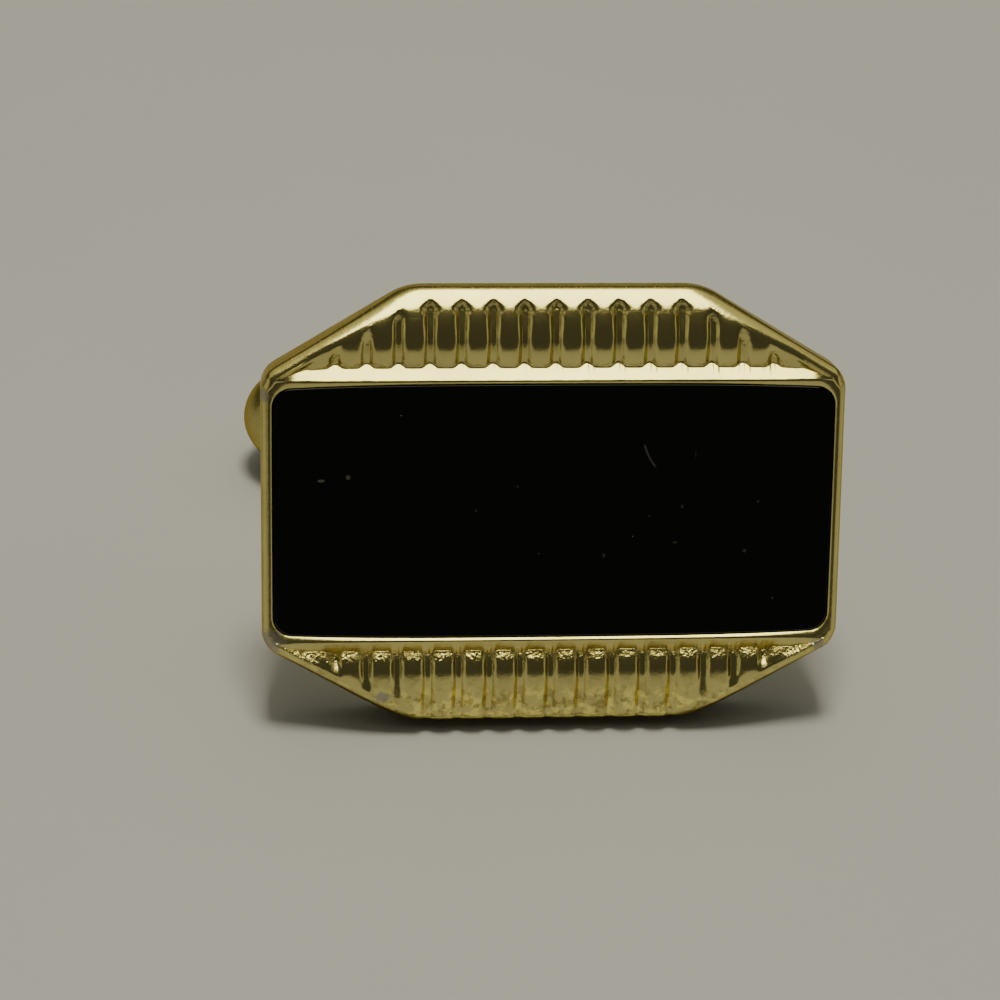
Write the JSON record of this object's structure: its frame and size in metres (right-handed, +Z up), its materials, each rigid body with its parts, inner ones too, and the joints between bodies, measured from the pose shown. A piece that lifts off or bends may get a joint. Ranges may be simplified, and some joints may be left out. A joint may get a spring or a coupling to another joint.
{
  "type": "cufflink",
  "caption": "Gold-tone eight-sided cufflink with a long black stone between fluted panels, on a post with a sprung swivel bar that turns in line to pass a buttonhole.",
  "frame": {"origin": "on the surface that the cufflink rests on, under the middle of its box", "axes": "+X along the face and the swivel bar, towards the bar's forked heel; +Z up; the face looks to -Y and leans back, resting on its lower rear edge and on the bar"},
  "size_m": [0.02, 0.018, 0.014],
  "materials": {
    "gold_face": "polished gold plate, worn at the corners",
    "black_stone": "polished",
    "cement": "matte",
    "gold_back": "satin gold plate",
    "gold_post": "satin gold plate",
    "gold_bar": "polished gold plate",
    "spring_steel": "rolled",
    "gold_pin": "flush and polished"
  },
  "bodies": {
    "face": {"front_frame": "gold_face", "stone": "black_stone", "stone_cement": "cement", "back_plate": "gold_back", "post_pad": "gold_back", "post": "gold_post"},
    "bar": {"bar_tube": "gold_bar", "bar_nose": "gold_bar", "bar_heel": "gold_bar", "leaf_spring": "spring_steel", "pivot_pin": "gold_pin"}
  },
  "joints": [
    {"name": "bar_swivel", "type": "hinge", "parent": "face", "child": "bar", "pos_m": [0, 0.00681, 0.0022], "axis": [0, -0.3588, -0.9334], "range_deg": [0, 90]}
  ]
}
